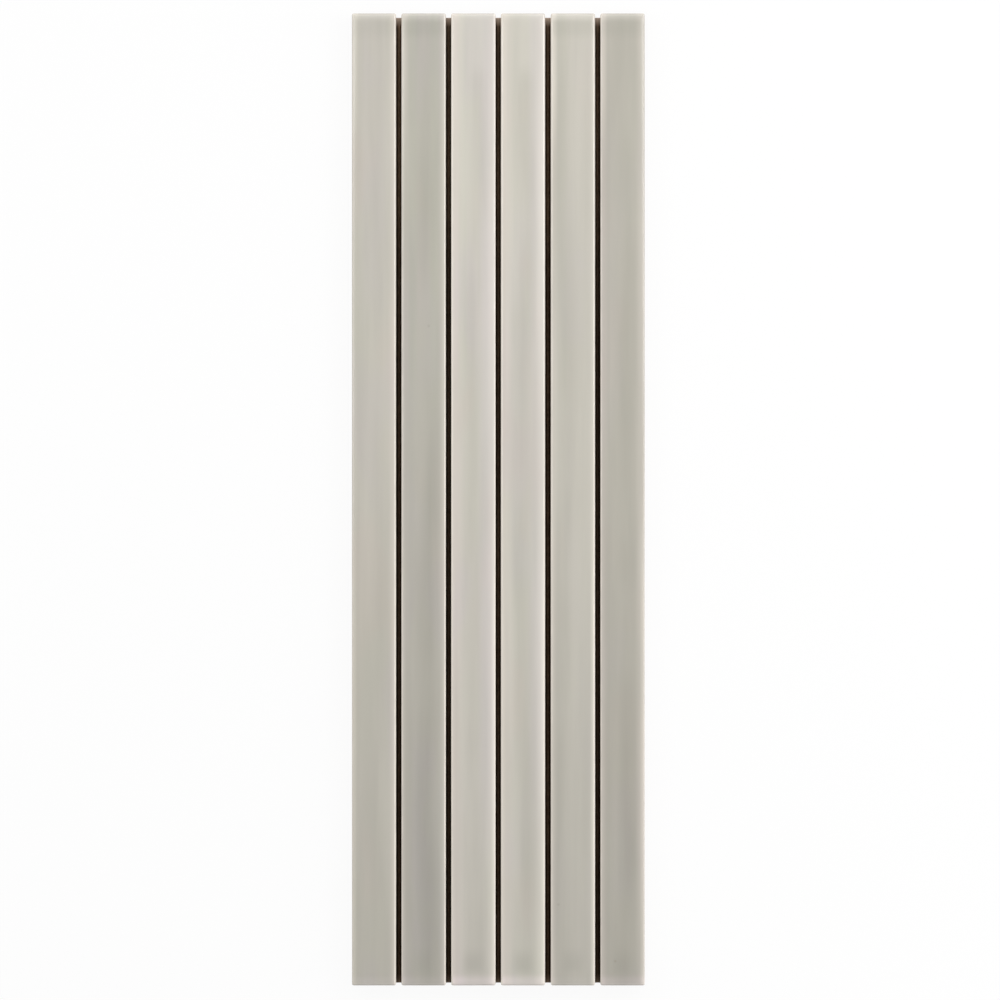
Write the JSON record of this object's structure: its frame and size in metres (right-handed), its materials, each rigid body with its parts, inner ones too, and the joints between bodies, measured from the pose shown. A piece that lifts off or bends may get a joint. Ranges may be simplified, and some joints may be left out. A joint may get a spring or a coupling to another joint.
{
  "type": "ceramic mosaic tile",
  "caption": "Flat mosaic tile sheet of long narrow glazed ceramic strips, laid side by side with open joints on a net backing, for facing walls and splashbacks.",
  "frame": {"origin": "middle of the sheet's footprint, on the underside of the net backing", "axes": "+Y along the strips, +X across them, +Z out of the glazed face"},
  "size_m": [0.0904, 0.3, 0.008],
  "materials": {
    "glazed_strip": "gloss",
    "net_backing": "matte"
  },
  "bodies": {
    "root": {"strip_1": "glazed_strip", "strip_2": "glazed_strip", "strip_3": "glazed_strip", "strip_4": "glazed_strip", "strip_5": "glazed_strip", "strip_6": "glazed_strip", "mesh_backing": "net_backing"}
  },
  "joints": []
}
